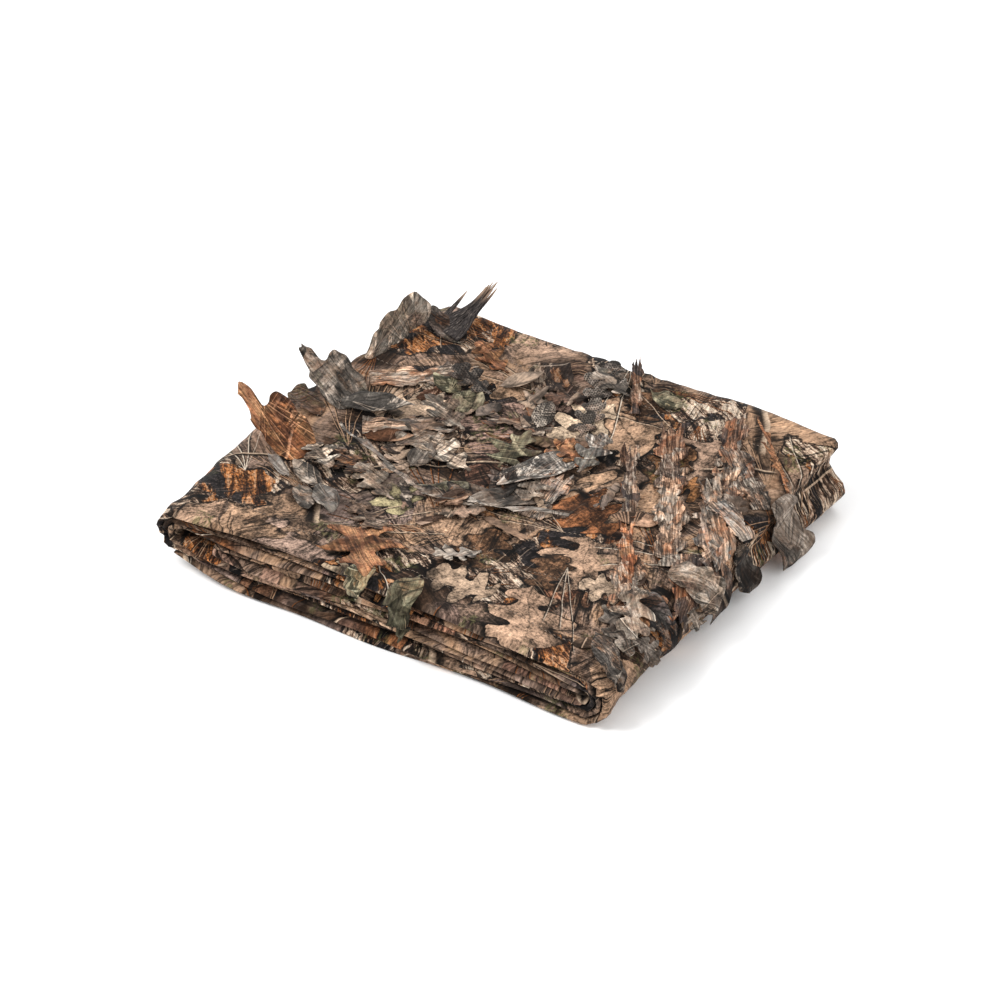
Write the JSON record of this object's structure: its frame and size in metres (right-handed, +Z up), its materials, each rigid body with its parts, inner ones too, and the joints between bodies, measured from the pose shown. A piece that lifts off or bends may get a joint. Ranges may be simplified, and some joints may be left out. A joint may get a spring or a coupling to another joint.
{
  "type": "folded leaf-cut camouflage blind fabric",
  "caption": "Folded length of camouflage blind fabric, its wound layers showing at the edges, with leaf, bark strip and tuft cut-outs standing off the top.",
  "frame": {"origin": "middle of the flat underside of the folded bundle, on the surface that it lies on", "axes": "+X along the layered front edge, +Y from that edge to the back, +Z up"},
  "size_m": [0.4251, 0.387, 0.0926],
  "materials": {
    "printed_cloth": "printed matt polyester",
    "rust": "printed matt polyester",
    "grey": "printed matt polyester",
    "beige": "printed matt polyester",
    "white": "printed matt polyester",
    "dark": "printed matt polyester",
    "green": "printed matt polyester",
    "brown": "printed matt polyester"
  },
  "bodies": {
    "root": {"folded_cloth": "printed_cloth", "edge_leaf_rust": "rust", "edge_leaf_grey": "grey", "edge_leaf_beige": "beige", "edge_tuft": "dark", "back_strip_tip": "brown", "mesh_leaf": "grey", "left_leaf_grey": "grey", "left_leaf_white": "white", "left_bark": "beige", "left_bark_low": "grey", "back_leaf_brown": "brown", "oak_leaf_high": "beige", "oak_leaf_mid": "beige", "oak_leaf_low": "brown", "green_patch": "green", "green_leaf_left": "green", "striped_leaf": "dark", "mesh_leaf_small": "grey", "mesh_leaf_low": "grey", "cream_leaf": "white", "rust_leaf_mid": "rust", "wood_strip": "white", "white_leaf": "white", "maple_leaf": "rust", "front_leaf_short": "green", "front_leaf_long": "green", "strip_front": "rust", "strip_middle": "brown", "strip_wide_front": "beige", "strip_wide_back": "brown", "strip_right_front": "beige", "strip_right_back": "brown", "nose_leaf_beige": "beige", "nose_leaf_wide": "beige", "nose_leaf_bark": "grey", "nose_leaf_grey": "grey", "nose_leaf_dark": "dark", "nose_leaf_back": "grey"}
  },
  "joints": []
}
